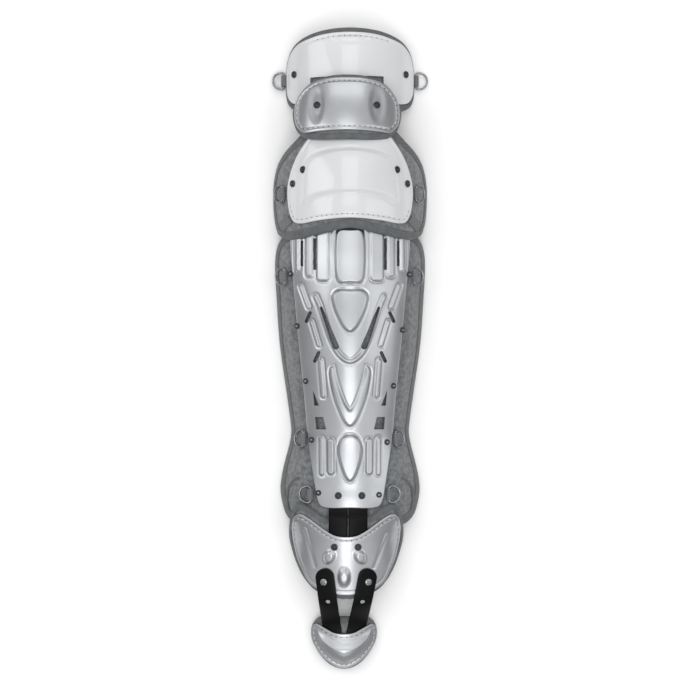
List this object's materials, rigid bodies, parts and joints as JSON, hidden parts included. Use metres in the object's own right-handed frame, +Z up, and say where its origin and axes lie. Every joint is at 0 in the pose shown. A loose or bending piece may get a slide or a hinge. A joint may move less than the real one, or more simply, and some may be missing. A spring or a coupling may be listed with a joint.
{
  "type": "catcher leg guard",
  "caption": "Catcher leg guard lying on its back: hinged thigh, knee, shin, instep and toe plates over grey padded wings, with D-rings for leg straps.",
  "frame": {"origin": "bottom centre of the bounding box, on the floor that the guard lies on", "axes": "+X across the leg to the right as seen from above, +Y towards the thigh end, +Z up, out of the front of the leg"},
  "size_m": [0.2052, 0.8408, 0.0944],
  "materials": {
    "pad_cloth": "matte brushed loop cloth over foam, mid grey",
    "webbing": "matte woven webbing, grey",
    "pearl_plate": "glossy pearl white",
    "silver_plate": "glossy metallic silver",
    "strap_vinyl": "satin black vinyl",
    "ring_steel": "polished chrome",
    "rivet_dark": "dark gunmetal",
    "rivet_silver": "polished silver dome"
  },
  "bodies": {
    "root": {"thigh_pad": "pad_cloth", "cap_pad": "pad_cloth", "knee_pad": "pad_cloth", "shin_pad": "pad_cloth", "instep_pad": "pad_cloth", "toe_pad": "pad_cloth", "thigh_shell": "pearl_plate", "cap_shell": "silver_plate", "knee_shell": "pearl_plate", "shin_shell": "silver_plate", "instep_shell": "silver_plate", "toe_shell": "silver_plate", "thigh_web": "webbing", "shin_link": "webbing", "hinge_strap_left": "strap_vinyl", "toe_strap_left": "strap_vinyl", "knee_patch_left": "pad_cloth", "hinge_strap_right": "strap_vinyl", "toe_strap_right": "strap_vinyl", "knee_patch_right": "pad_cloth", "tab_left_thigh": "webbing", "ring_left_thigh_1": "ring_steel", "ring_left_thigh_2": "ring_steel", "tab_right_thigh": "webbing", "ring_right_thigh_1": "ring_steel", "tab_left_knee": "webbing", "ring_left_knee_1": "ring_steel", "ring_left_knee_2": "ring_steel", "tab_right_knee": "webbing", "ring_right_knee_1": "ring_steel", "tab_left_shin_high": "webbing", "ring_left_shin_high_1": "ring_steel", "ring_left_shin_high_2": "ring_steel", "tab_right_shin_high": "webbing", "ring_right_shin_high_1": "ring_steel", "tab_left_shin_low": "webbing", "ring_left_shin_low_1": "ring_steel", "ring_left_shin_low_2": "ring_steel", "tab_right_shin_low": "webbing", "ring_right_shin_low_1": "ring_steel", "tab_left_ankle": "webbing", "ring_left_ankle_1": "ring_steel", "ring_left_ankle_2": "ring_steel", "tab_right_ankle": "webbing", "ring_right_ankle_1": "ring_steel", "rivet_thigh_left": "rivet_dark", "rivet_thigh_right": "rivet_dark", "rivet_cap_left": "rivet_dark", "rivet_cap_right": "rivet_dark", "rivet_knee_high_left": "rivet_dark", "rivet_knee_high_right": "rivet_dark", "rivet_knee_low_left": "rivet_dark", "rivet_knee_low_right": "rivet_dark", "rivet_shin_left": "rivet_dark", "rivet_shin_right": "rivet_dark", "rivet_instep_left": "rivet_dark", "rivet_instep_right": "rivet_dark", "rivet_toe_strap_left": "rivet_silver", "rivet_toe_strap_right": "rivet_silver"}
  },
  "joints": []
}
